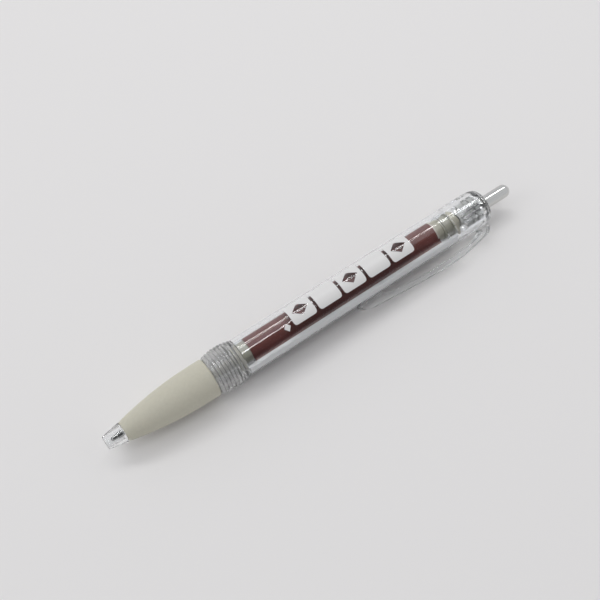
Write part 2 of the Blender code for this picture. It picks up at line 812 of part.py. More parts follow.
def main():
    clear_scene()
    clear = clear_plastic("clear_plastic")
    smoke = material("frosted_strip", (0.72, 0.73, 0.74), 0.35, transmission=0.4)
    rubber = material("cream_rubber", (0.52, 0.50, 0.44), 0.65)
    natural = material("natural_plastic", (0.55, 0.52, 0.42), 0.40, transmission=0.3)
    film = material("brown_film", (0.10, 0.035, 0.030), 0.30)
    chrome = material("chrome", (0.85, 0.85, 0.84), 0.08, metallic=1.0)
    steel = material("spring_steel", (0.60, 0.60, 0.60), 0.25, metallic=1.0)
    tungsten = material("ball_metal", (0.35, 0.35, 0.36), 0.20, metallic=1.0)
    cam = material("cam_plastic", (0.50, 0.50, 0.49), 0.35)
    ink = material("ink", (0.01, 0.01, 0.02), 0.30)

    pieces = [
        nose_section(clear),
        rubber_grip(rubber),
        ribbed_ring(clear),
        front_bush(natural),
        barrel(clear),
        core_tube(natural),
        banner_roll(film),
        banner_web(film),
        pull_strip(smoke),
        rewind_spring(steel),
        rear_bush(natural),
        cap(clear),
        clip(clear),
        push_button(chrome),
        cam_plunger(cam),
        cam_rotor(cam),
        return_spring(steel),
        refill_tube(natural),
        ink_column(ink),
        refill_point(chrome),
        writing_ball(tungsten),
    ]
    low, high = world_corners(pieces)
    pen = bpy.data.objects.new("pen", None)
    bpy.context.scene.collection.objects.link(pen)
    for obj in list(bpy.data.objects):
        if obj is not pen:
            obj.parent = pen
    pen.location = (-(low.x + high.x) / 2, -(low.y + high.y) / 2, -low.z)


main()
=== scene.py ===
"""The looks of a clear push-button ballpoint with a banner rolled up in its barrel.

Each sub-assembly is a class with its sizes as fields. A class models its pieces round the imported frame,
dresses them and says which body each one rides on. Lengths are in metres.
"""

import logging
import math
from collections.abc import Callable
from dataclasses import dataclass, field
from enum import Enum

import bpy
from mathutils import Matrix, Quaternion, Vector


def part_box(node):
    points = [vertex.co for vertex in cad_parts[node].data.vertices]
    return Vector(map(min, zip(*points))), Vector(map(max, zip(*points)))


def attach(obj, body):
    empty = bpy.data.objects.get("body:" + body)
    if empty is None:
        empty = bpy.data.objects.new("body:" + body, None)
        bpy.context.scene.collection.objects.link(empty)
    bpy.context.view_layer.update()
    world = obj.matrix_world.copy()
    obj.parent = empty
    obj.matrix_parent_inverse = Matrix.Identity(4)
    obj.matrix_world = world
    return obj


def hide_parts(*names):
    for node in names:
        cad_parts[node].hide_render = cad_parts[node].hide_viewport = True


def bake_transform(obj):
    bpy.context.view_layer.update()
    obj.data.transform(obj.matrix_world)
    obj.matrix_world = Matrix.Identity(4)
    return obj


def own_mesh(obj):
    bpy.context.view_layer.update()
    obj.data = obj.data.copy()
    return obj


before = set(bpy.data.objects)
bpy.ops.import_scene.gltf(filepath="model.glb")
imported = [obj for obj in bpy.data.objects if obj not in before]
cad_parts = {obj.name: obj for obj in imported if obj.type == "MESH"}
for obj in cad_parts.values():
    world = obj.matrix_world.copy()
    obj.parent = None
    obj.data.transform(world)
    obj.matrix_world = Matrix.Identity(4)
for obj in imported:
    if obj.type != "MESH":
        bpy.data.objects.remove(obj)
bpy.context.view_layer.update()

MM = 0.001
SMOOTH_ANGLE = 35.0
SLOT_TURN = math.radians(77)
HOLD = 0.06 * MM
LOG = logging.getLogger("banner_pen")

Pair = tuple[float, float]
Triple = tuple[float, float, float]
Outline = list[Pair]
Piece = bpy.types.Object
Socket = bpy.types.NodeSocket
Tree = bpy.types.NodeTree


class Plane(Enum):
    """The two directions that a flat outline is drawn in."""

    ALONG_AND_OUT = "xz"
    ALONG_AND_ACROSS = "xy"
    ACROSS_AND_OUT = "yz"

    def place(self, first: float, second: float) -> Vector:
        """Returns the point of space that two outline numbers stand for."""
        spot = dict(zip(self.value, (first, second)))
        return Vector((spot.get("x", 0.0), spot.get("y", 0.0), spot.get("z", 0.0)))


def whole_object_selected(piece: Piece) -> None:
    """Makes one object the active one and the only one selected."""
    bpy.ops.object.select_all(action="DESELECT")
    piece.select_set(True)
    bpy.context.view_layer.objects.active = piece


def drawn(name: str, outline: Outline, plane: Plane, filled: bool) -> Piece:
    """Draws a closed outline as a person would: one point, extruded from corner to corner.

    Args:
        name: The new object's name.
        outline: The corners, in order.
        plane: The two directions that the corners are given in.
        filled: True to close the outline with a face.

    Returns:
        The object, left in edit mode with everything selected.
    """
    bpy.ops.object.select_all(action="DESELECT")
    spots = [plane.place(*corner) for corner in outline]
    bpy.ops.mesh.primitive_plane_add(size=MM, location=(0, 0, 0))
    piece = bpy.context.active_object
    piece.name = name
    piece.data.name = name
    bpy.ops.object.mode_set(mode="EDIT")
    bpy.ops.mesh.select_all(action="SELECT")
    bpy.ops.mesh.merge(type="CENTER")
    bpy.ops.transform.translate(value=spots[0])
    for before, after in zip(spots, spots[1:] + spots[:1]):
        bpy.ops.mesh.extrude_vertices_move(TRANSFORM_OT_translate={"value": after - before})
    bpy.ops.mesh.select_all(action="SELECT")
    bpy.ops.mesh.remove_doubles(threshold=1e-7)
    bpy.ops.mesh.select_all(action="SELECT")
    if filled:
        bpy.ops.mesh.edge_face_add()
        bpy.ops.mesh.select_all(action="SELECT")
    return piece


def closed_up(piece: Piece, merge: float = 1e-7) -> None:
    """Merges doubled corners, turns the faces outwards and leaves edit mode."""
    bpy.ops.mesh.select_all(action="SELECT")
    bpy.ops.mesh.remove_doubles(threshold=merge)
    bpy.ops.mesh.delete_loose()
    bpy.ops.mesh.select_all(action="SELECT")
    bpy.ops.mesh.normals_make_consistent(inside=False)
    bpy.ops.object.mode_set(mode="OBJECT")
    whole_object_selected(piece)


def bevelled(piece: Piece, width: float, segments: int = 3, angle: float = 40.0) -> None:
    """Rounds the sharp edges with an applied Bevel that leaves the wide faces' shading flat."""
    whole_object_selected(piece)
    bpy.ops.object.shade_smooth_by_angle(angle=math.radians(SMOOTH_ANGLE))
    rounding = piece.modifiers.new("edge_round", "BEVEL")
    rounding.width = width
    rounding.segments = segments
    rounding.limit_method = "ANGLE"
    rounding.angle_limit = math.radians(angle)
    rounding.harden_normals = True
    bpy.ops.object.modifier_apply(modifier=rounding.name)


def merged(piece: Piece, other: Piece, operation: str) -> None:
    """Applies a Boolean of the other object to the piece, and removes the other."""
    whole_object_selected(piece)
    cut = piece.modifiers.new("shape", "BOOLEAN")
    cut.operation = operation
    cut.solver = "EXACT"
    cut.object = other
    bpy.ops.object.modifier_apply(modifier=cut.name)
    bpy.data.objects.remove(other, do_unlink=True)


def settled(piece: Piece, turn: float = 0.0, centre: Pair = (0.0, 0.0),
            smooth: float = SMOOTH_ANGLE) -> Piece:
    """Turns a piece about X, moves it to its centre and writes its place into its mesh.

    Args:
        piece: The object to settle.
        turn: The angle about the X axis.
        centre: The y and z of the axis that the piece was drawn round.
        smooth: The largest angle, in degrees, that is shaded smooth.

    Returns:
        The same object.
    """
    whole_object_selected(piece)
    piece.rotation_euler.x = turn
    piece.location = (0.0, *centre)
    bpy.ops.object.transform_apply(location=True, rotation=True, scale=True)
    bpy.ops.object.shade_smooth_by_angle(angle=math.radians(smooth))
    return piece


def held(outline: Outline) -> Outline:
    """The same outline with a point close to both ends of each long side, to keep its shading straight."""
    line: Outline = []
    for here, after in zip(outline, outline[1:] + outline[:1]):
        start, end = Vector(here), Vector(after)
        line.append(here)
        if (end - start).length > 8 * HOLD:
            step = (end - start).normalized() * HOLD
            line += [tuple(start + step), tuple(end - step)]
    return line


def lathe(name: str, outline: Outline, steps: int = 96) -> Piece:
    """Turns a closed (x, radius) outline about the X axis."""
    piece = drawn(name, held(outline), Plane.ALONG_AND_OUT, filled=False)
    bpy.ops.mesh.spin(steps=steps, angle=2 * math.pi, center=(0, 0, 0), axis=(1, 0, 0))
    closed_up(piece)
    return piece


def prism(name: str, outline: Outline, plane: Plane, reach: Vector) -> Piece:
    """Extrudes a filled outline by a vector."""
    piece = drawn(name, outline, plane, filled=True)
    bpy.ops.mesh.extrude_region_move(TRANSFORM_OT_translate={"value": reach})
    closed_up(piece)
    return piece


def bar_along(name: str, section: Outline, start: float, end: float) -> Piece:
    """Draws a filled section along X, with a ring of edges close to both ends."""
    piece = drawn(name, section, Plane.ACROSS_AND_OUT, filled=True)
    bpy.ops.transform.translate(value=(start, 0, 0))
    for length in (HOLD, end - start - 2 * HOLD, HOLD):
        bpy.ops.mesh.extrude_region_move(TRANSFORM_OT_translate={"value": (length, 0, 0)})
    closed_up(piece)
    return piece


def joined(pieces: list[Piece], name: str) -> Piece:
    """Joins separate solids into one object."""
    bpy.ops.object.select_all(action="DESELECT")
    for piece in pieces:
        piece.select_set(True)
    bpy.context.view_layer.objects.active = pieces[0]
    bpy.ops.object.join()
    pieces[0].name = name
    pieces[0].data.name = name
    return pieces[0]


def arc(radius: float, start: float, end: float, steps: int, centre: Pair = (0.0, 0.0)) -> Outline:
    """Points on a circle, with angles measured from the second direction towards the first."""
    angles = (start + (end - start) * step / steps for step in range(steps + 1))
    return [(centre[0] + radius * math.sin(a), centre[1] + radius * math.cos(a)) for a in angles]


def diamond(along: float, across: float, long: float, high: float) -> Outline:
    """A diamond round a place, given half its length and half its height."""
    return [(along - long, across), (along, across + high), (along + long, across), (along, across - high)]


def flowing(points: Outline, steps: int) -> Outline:
    """A smooth curve through the points, with this many steps between two of them."""
    ends = [points[0]] + points + [points[-1]]
    line: Outline = []
    for before, first, second, after in zip(ends, ends[1:], ends[2:], ends[3:]):
        for step in range(steps):
            t = step / steps
            line.append(tuple(
                b + 0.5 * t * (c - a + t * (2 * a - 5 * b + 4 * c - d + t * (3 * b - a - 3 * c + d)))
                for a, b, c, d in zip(before, first, second, after)
            ))
    return line + [points[-1]]


def softened(outline: Outline, radius: float, steps: int = 4) -> Outline:
    """The same closed outline with every corner rounded off.

    Args:
        outline: The corners, in order.
        radius: How far from a corner its rounding starts.
        steps: Points in each rounding.

    Returns:
        The longer outline.
    """
    line: Outline = []
    count = len(outline)
    for index, corner in enumerate(outline):
        here = Vector(corner)
        before = Vector(outline[index - 1]) - here
        after = Vector(outline[(index + 1) % count]) - here
        reach = min(radius, 0.45 * before.length, 0.45 * after.length)
        start = here + before.normalized() * reach
        end = here + after.normalized() * reach
        for step in range(steps + 1):
            t = step / steps
            line.append(tuple(start * (1 - t) ** 2 + here * 2 * t * (1 - t) + end * t**2))
    return line


def splined(root: float, tip: float, count: int, width: float) -> Outline:
    """A round shape with parallel-sided splines standing out of it."""
    root_edge = math.asin(width / 2 / root)
    tip_edge = math.asin(width / 2 / tip)
    points: Outline = []
    for index in range(count):
        middle = 2 * math.pi * index / count
        points.append(arc(root, middle - root_edge, middle, 1)[0])
        points += arc(tip, middle - tip_edge, middle + tip_edge, 3)
        points += arc(root, middle + root_edge, middle + 2 * math.pi / count - root_edge, 4)[:-1]
    return points


def coil(name: str, radius: float, wire: float, turns: float, start: float, end: float) -> Piece:
    """A round-wire spring along X with closed end turns, as a mesh."""
    bpy.ops.object.select_all(action="DESELECT")
    bpy.ops.curve.primitive_nurbs_path_add(location=(0, 0, 0))
    piece = bpy.context.active_object
    piece.name = name
    curve = piece.data
    curve.splines.clear()
    curve.bevel_depth = wire / 2
    curve.bevel_resolution = 3
    curve.use_fill_caps = True
    per_turn = 28
    count = int(turns * per_turn)
    spline = curve.splines.new("POLY")
    spline.points.add(count)
    closed = per_turn
    free = count - 2 * closed
    for index, point in enumerate(spline.points):
        share = min(max(index - closed, 0), free) / free
        tight = (min(index, closed) + max(index - closed - free, 0)) / per_turn * wire * 1.02
        along = start + wire / 2 + tight + share * (end - start - wire - 2 * wire * 1.02)
        angle = 2 * math.pi * index / per_turn
        point.co = (along, radius * math.sin(angle), radius * math.cos(angle), 1.0)
    whole_object_selected(piece)
    bpy.ops.object.convert(target="MESH")
    piece.data.name = name
    bpy.ops.object.mode_set(mode="EDIT")
    closed_up(piece)
    return piece


class NodeSheet:
    """Adds nodes to one node tree and links them."""

    def __init__(self, tree: Tree) -> None:
        """Keeps the tree to add to."""
        self.tree = tree

    def add(self, kind: str, **settings: object) -> bpy.types.Node:
        """Adds a node and sets its properties."""
        node = self.tree.nodes.new(kind)
        for name, value in settings.items():
            setattr(node, name, value)
        return node

    @staticmethod
    def fill(node: bpy.types.Node, **values: object) -> bpy.types.Node:
        """Sets input values by name, with an underscore for each space, and returns the node."""
        for name, value in values.items():
            node.inputs[name.replace("_", " ")].default_value = value
        return node

    def link(self, source: Socket, target: Socket) -> None:
        """Links an output to an input."""
        self.tree.links.new(source, target)

    def math(self, operation: str, first: object, second: object) -> Socket:
        """Adds a Math node, whose inputs are numbers or sockets, and returns its output."""
        node = self.add("ShaderNodeMath", operation=operation)
        for index, value in enumerate((first, second)):
            if isinstance(value, Socket):
                self.link(value, node.inputs[index])
            else:
                node.inputs[index].default_value = value
        return node.outputs[0]


class Effects:
    """Shader node groups that several finishes share. They put out only values, masks and colours."""

    def __init__(self) -> None:
        """Builds each group once."""
        self.grain = self._grain()
        self.tone = self._tone()

    @staticmethod
    def _new(name: str, inputs: list[tuple[str, str, float]], output: tuple[str, str]) -> tuple:
        """Starts a group with its sockets.

        Args:
            name: The group's name.
            inputs: Each input's name, kind and default.
            output: The output's name and kind.

        Returns:
            The group, its sheet, its input node and its output node.
        """
        group = bpy.data.node_groups.new(name, "ShaderNodeTree")
        for title, kind, default in inputs:
            socket = group.interface.new_socket(title, in_out="INPUT", socket_type=kind)
            if kind == "NodeSocketFloat":
                socket.default_value = default
        group.interface.new_socket(output[0], in_out="OUTPUT", socket_type=output[1])
        sheet = NodeSheet(group)
        return group, sheet, sheet.add("NodeGroupInput"), sheet.add("NodeGroupOutput")

    def _grain(self) -> Tree:
        """Soft unevenness from 0 to 1, of a stated size, drawn out along the pen by a stated factor."""
        group, sheet, given, result = self._new(
            "surface_grain",
            [("Vector", "NodeSocketVector", 0.0), ("Size", "NodeSocketFloat", MM),
             ("Draw", "NodeSocketFloat", 1.0)],
            ("Value", "NodeSocketFloat"),
        )
        parts = sheet.add("ShaderNodeSeparateXYZ")
        sheet.link(given.outputs["Vector"], parts.inputs[0])
        drawn_out = sheet.math("DIVIDE", parts.outputs["X"], given.outputs["Draw"])
        joined = sheet.add("ShaderNodeCombineXYZ")
        sheet.link(drawn_out, joined.inputs["X"])
        sheet.link(parts.outputs["Y"], joined.inputs["Y"])
        sheet.link(parts.outputs["Z"], joined.inputs["Z"])
        noise = sheet.fill(sheet.add("ShaderNodeTexNoise"), Detail=3.0)
        sheet.link(joined.outputs[0], noise.inputs["Vector"])
        sheet.link(sheet.math("DIVIDE", 1.0, given.outputs["Size"]), noise.inputs["Scale"])
        sheet.link(noise.outputs["Fac"], result.inputs["Value"])
        return group

    def _tone(self) -> Tree:
        """A colour made a little lighter and darker by a value."""
        group, sheet, given, result = self._new(
            "tone_shift",
            [("Color", "NodeSocketColor", 0.0), ("Value", "NodeSocketFloat", 0.5),
             ("Amount", "NodeSocketFloat", 0.1)],
            ("Color", "NodeSocketColor"),
        )
        centred = sheet.math("SUBTRACT", given.outputs["Value"], 0.5)
        scaled = sheet.math("MULTIPLY", centred, given.outputs["Amount"])
        level = sheet.math("ADD", scaled, 1.0)
        shift = sheet.add("ShaderNodeVectorMath", operation="SCALE")
        sheet.link(given.outputs["Color"], shift.inputs[0])
        sheet.link(level, shift.inputs["Scale"])
        sheet.link(shift.outputs[0], result.inputs["Color"])
        return group


def started(name: str, effects: Effects, size: float, draw: float, relief: float) -> tuple:
    """Starts a material whose relief follows a grain.

    Args:
        name: The material's name.
        effects: The shared node groups.
        size: Size of the grain.
        draw: How far the grain is drawn out along the pen.
        relief: Height of the relief.

    Returns:
        The material, its sheet, its Principled shader and the grain's value.
    """
    surface = bpy.data.materials.new(name)
    surface.use_nodes = True
    sheet = NodeSheet(surface.node_tree)
    shader = surface.node_tree.nodes["Principled BSDF"]
    where = sheet.add("ShaderNodeTexCoord")
    grain = sheet.fill(sheet.add("ShaderNodeGroup", node_tree=effects.grain), Size=size, Draw=draw)
    sheet.link(where.outputs["Object"], grain.inputs["Vector"])
    bump = sheet.fill(sheet.add("ShaderNodeBump"), Distance=relief)
    sheet.link(grain.outputs["Value"], bump.inputs["Height"])
    sheet.link(bump.outputs["Normal"], shader.inputs["Normal"])
    return surface, sheet, shader, grain.outputs["Value"]


@dataclass(frozen=True)
class Finish:
    """An opaque or cloudy finish with its own grain, tone and relief.

    Attributes:
        name: The material's name.
        color: Linear base colour.
        roughness: The middle roughness.
        spread: How far roughness moves with the grain.
        metallic: Metallic value.
        transmission: Transmission weight.
        grain: Size of the grain.
        draw: How far the grain is drawn out along the pen.
        tone: How far the colour moves with the grain.
        relief: Height of the grain's bump.
        scatter: Subsurface weight.
        scatter_colors: How far each colour scatters.
        scatter_depth: The scale of that distance.
    """

    name: str
    color: Triple
    roughness: float
    spread: float = 0.10
    metallic: float = 0.0
    transmission: float = 0.0
    grain: float = 0.6 * MM
    draw: float = 1.0
    tone: float = 0.10
    relief: float = 0.004 * MM
    scatter: float = 0.0
    scatter_colors: Triple = (1.0, 0.9, 0.75)
    scatter_depth: float = 0.8 * MM

    def made(self, effects: Effects) -> bpy.types.Material:
        """Builds the material.

        Args:
            effects: The shared node groups.

        Returns:
            The new material.
        """
        surface, sheet, shader, grain = started(self.name, effects, self.grain, self.draw, self.relief)
        sheet.fill(
            shader, Metallic=self.metallic, Transmission_Weight=self.transmission,
            Subsurface_Weight=self.scatter, Subsurface_Radius=self.scatter_colors,
            Subsurface_Scale=self.scatter_depth,
        )
        tone = sheet.add("ShaderNodeGroup", node_tree=effects.tone)
        sheet.fill(tone, Color=(*self.color, 1.0), Amount=self.tone)
        sheet.link(grain, tone.inputs["Value"])
        sheet.link(tone.outputs["Color"], shader.inputs["Base Color"])
        spread = sheet.math("MULTIPLY", grain, self.spread)
        sheet.link(sheet.math("ADD", spread, self.roughness - self.spread / 2), shader.inputs["Roughness"])
        return surface


@dataclass(frozen=True)
class ClearFinish:
    """Clear moulded plastic. Rays from lamps go through it, tinted, so what is inside is lit.

    Attributes:
        name: The material's name.
        color: Linear tint.
        roughness: Surface roughness.
        haze: How far roughness moves with the flow marks.
        ior: Index of refraction.
        flow: Size of the mould's flow marks.
        draw: How far they are drawn out along the pen.
        relief: Height of the flow marks.
        lamp_share: How much of a lamp's light one wall lets through.
        clarity: How much of the surface lets light through.
        groove: How much of its colour the painted shade leaves in the hollows between ribs, 1 for none.
        hollow: The Pointiness of the deepest hollow and of an even face.
    """

    name: str
    color: Triple = (0.965, 0.975, 0.98)
    roughness: float = 0.03
    haze: float = 0.015
    ior: float = 1.50
    flow: float = 2.5 * MM
    draw: float = 6.0
    relief: float = 0.0012 * MM
    lamp_share: float = 0.86
    clarity: float = 1.0
    groove: float = 1.0
    hollow: Pair = (0.42, 0.52)

    def made(self, effects: Effects) -> bpy.types.Material:
        """Builds the material.

        Args:
            effects: The shared node groups.

        Returns:
            The new material.
        """
        surface, sheet, shader, flow = started(self.name, effects, self.flow, self.draw, self.relief)
        sheet.fill(shader, Transmission_Weight=self.clarity, IOR=self.ior, Base_Color=(*self.color, 1.0))
        haze = sheet.math("MULTIPLY", flow, 2 * self.haze)
        sheet.link(sheet.math("ADD", haze, self.roughness - self.haze), shader.inputs["Roughness"])
        # Painted shade: the hollows between the ribs get a darker colour, found by their Pointiness.
        if self.groove < 1.0:
            self._painted_hollow_shade(sheet, shader)
        path = sheet.add("ShaderNodeLightPath")
        share = self.lamp_share
        through = sheet.fill(sheet.add("ShaderNodeBsdfTransparent"), Color=(share, share, share, 1.0))
        mix = sheet.add("ShaderNodeMixShader")
        sheet.link(path.outputs["Is Shadow Ray"], mix.inputs[0])
        sheet.link(shader.outputs[0], mix.inputs[1])
        sheet.link(through.outputs[0], mix.inputs[2])
        sheet.link(mix.outputs[0], surface.node_tree.nodes["Material Output"].inputs["Surface"])
        return surface

    def _painted_hollow_shade(self, sheet: NodeSheet, shader: bpy.types.Node) -> None:
        """Paints shade into the hollows between the ribs, so that the grooves read darker.

        Args:
            sheet: The material's nodes.
            shader: The surface to tint.
        """
        shape = sheet.add("ShaderNodeNewGeometry")
        level = sheet.fill(sheet.add("ShaderNodeMapRange"), From_Min=self.hollow[0], From_Max=self.hollow[1])
        sheet.link(shape.outputs["Pointiness"], level.inputs["Value"])
        tint = sheet.add("ShaderNodeMix", data_type="RGBA")
        sheet.link(level.outputs["Result"], tint.inputs[0])
        tint.inputs[6].default_value = (*(self.groove * part for part in self.color), 1.0)
        tint.inputs[7].default_value = (*self.color, 1.0)
        sheet.link(tint.outputs[2], shader.inputs["Base Color"])


class Finishes:
    """Every finish on the pen, built once."""

    def __init__(self) -> None:
        """Builds the materials."""
        effects = Effects()
        self.clear = ClearFinish("clear_barrel_plastic").made(effects)
        self.clear_ring = ClearFinish(
            "clear_ring_plastic", (0.84, 0.84, 0.83), 0.05, clarity=0.82, lamp_share=0.66, groove=0.20
        ).made(effects)

        def made(*given: object, **named: object) -> bpy.types.Material:
            """Builds one plain finish from its fields."""
            return Finish(*given, **named).made(effects)

        self.strip = made("frosted_strip", (0.86, 0.87, 0.88), 0.22, transmission=0.35, draw=8.0)
        self.rubber = made(
            "cream_rubber", (0.545, 0.525, 0.435), 0.72, grain=0.9 * MM, tone=0.12, relief=0.01 * MM,
            scatter=0.25,
        )
        self.natural = made("natural_tube", (0.42, 0.40, 0.32), 0.45, transmission=0.25, tone=0.15)
        self.film = made(
            "brown_film", (0.100, 0.016, 0.011), 0.50, draw=12.0, grain=0.5 * MM, tone=0.30,
            relief=0.0008 * MM,
        )
        self.margin = made("film_margin", (0.55, 0.52, 0.47), 0.40)
        # Near-black colour for the roll's end faces: partly the film's dark edge, partly painted shade.
        self.edges = made("film_edges_and_shade", (0.018, 0.009, 0.009), 0.55)
        self.imprint = made("white_imprint", (0.72, 0.71, 0.70), 0.38, grain=0.25 * MM, relief=0.002 * MM)
        self.chrome = made("chrome", (0.64, 0.64, 0.625), 0.07, 0.05, metallic=1.0, draw=10.0, tone=0.05)
        self.steel = made("spring_steel", (0.55, 0.55, 0.55), 0.25, metallic=1.0, draw=0.3)
        self.point = made("point_metal", (0.42, 0.42, 0.41), 0.10, metallic=1.0, draw=6.0)
        self.ball = made("ball_metal", (0.30, 0.30, 0.31), 0.15, metallic=1.0)
        self.cam = made("cam_plastic", (0.40, 0.40, 0.39), 0.30, tone=0.20, draw=4.0)
        self.ink = made("ink", (0.008, 0.008, 0.016), 0.30)


def dressed(piece: Piece, surface: bpy.types.Material, body: str,
            nodes: tuple[str, ...] = ()) -> Piece:
    """Gives a finished piece its material and body, and hides the CAD nodes that it stands for.

    Args:
        piece: The finished piece.
        surface: Its material.
        body: The body that it rides on.
        nodes: The CAD nodes that it replaces.

    Returns:
        The same object.
    """
    piece.data.materials.clear()
    piece.data.materials.append(surface)
    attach(piece, body)
    if nodes:
        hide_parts(*nodes)
    LOG.info("%s rides on %s", piece.name, body)
    return piece


def faced(piece: Piece, surface: bpy.types.Material, chosen: Callable[[bpy.types.MeshPolygon], bool]) -> None:
    """Gives the chosen faces of a dressed piece a second material."""
    piece.data.materials.append(surface)
    for face in piece.data.polygons:
        if chosen(face):
            face.material_index = 1


def refinished(name: str, surface: bpy.types.Material) -> None:
    """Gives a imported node, which is shown as it is, its finish."""
    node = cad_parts[name]
    node.data.materials.clear()
    node.data.materials.append(surface)


def axis_of(name: str) -> Pair:
    """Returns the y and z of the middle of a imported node."""
    low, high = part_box(name)
    return (low.y + high.y) / 2, (low.z + high.z) / 2


@dataclass
class PenLine:
    """The pen's axis and its stations along X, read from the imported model."""

    centre: Pair
    spool_centre: Pair
    nose: float
    grip: float
    ring: float
    barrel: float
    cap: float
    end: float
    grip_radius: float
    ring_radius: float

    @classmethod
    def read(cls) -> "PenLine":
        """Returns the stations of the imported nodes."""
        grip_low, grip_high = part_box("rubber_grip")
        ring_low, ring_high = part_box("ribbed_ring")
        barrel_low, barrel_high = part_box("barrel")
        return cls(
            centre=axis_of("rubber_grip"),
            spool_centre=axis_of("core_tube"),
            nose=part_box("nose_section")[0].x,
            grip=grip_low.x,
            ring=ring_low.x,
            barrel=barrel_low.x,
            cap=barrel_high.x,
            end=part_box("cap")[1].x,
            grip_radius=(grip_high.y - grip_low.y) / 2,
            ring_radius=(ring_high.z - ring_low.z) / 2,
        )


@dataclass
class SubAssembly:
    """A part of the pen that is built as one."""

    line: PenLine
    finishes: Finishes

    def build(self) -> None:
        """Models and dresses the pieces."""
        raise NotImplementedError

    def wound(self, name: str, node: str, body: str, wire: float, turns: float, centre: Pair) -> Piece:
        """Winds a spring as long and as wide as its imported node.

        Args:
            name: The spring's name.
            node: The CAD node that it stands for.
            body: The body that it rides on.
            wire: Its wire's thickness.
            turns: Its number of turns.
            centre: The y and z of its axis.

        Returns:
            The dressed spring.
        """
        low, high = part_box(node)
        spring = coil(name, (high.z - low.z) / 2 - wire / 2, wire, turns, low.x, high.x)
        settled(spring, centre=centre, smooth=60.0)
        return dressed(spring, self.finishes.steel, body, (node,))


@dataclass
class FrontSection(SubAssembly):
    """The clear nose with its sleeve and thread, the rubber grip and the return spring."""

    tip_radius: float = 2.0 * MM
    cone_radius: float = 3.0 * MM
    tip_bore: float = 1.25 * MM
    bore: float = 1.65 * MM
    sleeve_bore: float = 2.3 * MM
    spring_seat: float = 12.0 * MM
    straight: float = 4.0 * MM
    lip: float = 0.65 * MM
    rubber: float = 1.2 * MM
    thread_radius: float = 3.9 * MM
    thread_depth: float = 0.2 * MM
    thread_pitch: float = 1.2 * MM
    wire: float = 0.4 * MM
    spring_turns: float = 13.0
    press_left: float = 0.69

    def grip_outer(self, x: float) -> float:
        """Returns the grip's outer radius at x: straight at the back, falling away in front."""
        full = self.line.ring - self.straight
        short = max(0.0, full - x) / (full - self.line.grip)
        return self.line.grip_radius - (self.line.grip_radius - self.cone_radius) * short**2

    def sleeve_outer(self, x: float) -> float:
        """Returns the radius of the sleeve under the grip at x."""
        share = min(1.0, (x - self.line.grip) / (self.line.ring - self.straight - self.line.grip))
        return self.grip_outer(x) - self.lip - (self.rubber - self.lip) * share

    def build(self) -> None:
        """Models and dresses the pieces."""
        self._nose()
        self._grip()
        self._spring()

    def _nose(self) -> None:
        """Turns the clear nose, its sleeve and its thread."""
        line = self.line
        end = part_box("nose_section")[1].x
        full = line.ring - self.straight
        sleeve = [(line.grip + (full - line.grip) * step / 8, 0.0) for step in range(9)]
        outline = [
            (line.nose, self.tip_bore), (line.nose, self.tip_radius - 0.25 * MM),
            (line.nose + 0.08 * MM, self.tip_radius - 0.08 * MM),
            (line.nose + 0.3 * MM, self.tip_radius + 0.04 * MM),
            (line.nose + 3.0 * MM, self.tip_radius + 0.56 * MM),
            (line.grip - 0.15 * MM, self.cone_radius),
            *[(x, self.sleeve_outer(x)) for x, _ in sleeve],
            (line.ring - 0.4 * MM, self.sleeve_outer(line.ring)),
            (line.ring - 0.4 * MM, self.thread_radius),
        ]
        start = line.ring + self.thread_pitch / 2
        while start + self.thread_pitch < end - 0.3 * MM:
            outline += [
                (start, self.thread_radius),
                (start + 0.35 * self.thread_pitch, self.thread_radius + self.thread_depth),
                (start + 0.5 * self.thread_pitch, self.thread_radius + self.thread_depth),
                (start + 0.85 * self.thread_pitch, self.thread_radius),
            ]
            start += self.thread_pitch
        seat = line.nose + self.spring_seat
        outline += [
            (end, self.thread_radius), (end, self.sleeve_bore), (seat, self.sleeve_bore),
            (seat, self.bore), (line.grip, self.bore), (line.grip - 0.5 * MM, self.tip_bore),
        ]
        nose = settled(lathe("clear_nose", outline), centre=line.centre)
        dressed(nose, self.finishes.clear, "nose", ("nose_section",))

    def _grip(self) -> None:
        """Turns the rubber grip with soft ends."""
        line = self.line
        start, end = line.grip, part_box("rubber_grip")[1].x
        full = line.ring - self.straight
        stations = [start + (full - start) * step / 16 for step in range(1, 17)]
        outline = [
            (start, self.sleeve_outer(start) + 0.05 * MM), (start, self.cone_radius - 0.18 * MM),
            (start + 0.12 * MM, self.cone_radius - 0.02 * MM),
            *[(x, self.grip_outer(x)) for x in stations],
            (end - 0.45 * MM, line.grip_radius), (end - 0.12 * MM, line.grip_radius - 0.10 * MM),
            (end, line.grip_radius - 0.38 * MM), (end, self.sleeve_outer(end) + 0.05 * MM),
            *[(x, self.sleeve_outer(x) + 0.05 * MM) for x in reversed(stations)],
        ]
        grip = settled(lathe("soft_grip", outline, 112), centre=line.centre, smooth=50.0)
        dressed(grip, self.finishes.rubber, "nose", ("rubber_grip",))

    def _spring(self) -> None:
        """Winds the return spring at its rest length, with a mesh of its own."""
        centre = self.line.centre
        spring = self.wound("return_coil", "return_spring", "nose", self.wire, self.spring_turns, centre)
        foot = (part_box("return_spring")[0].x, *centre)
        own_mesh(spring)


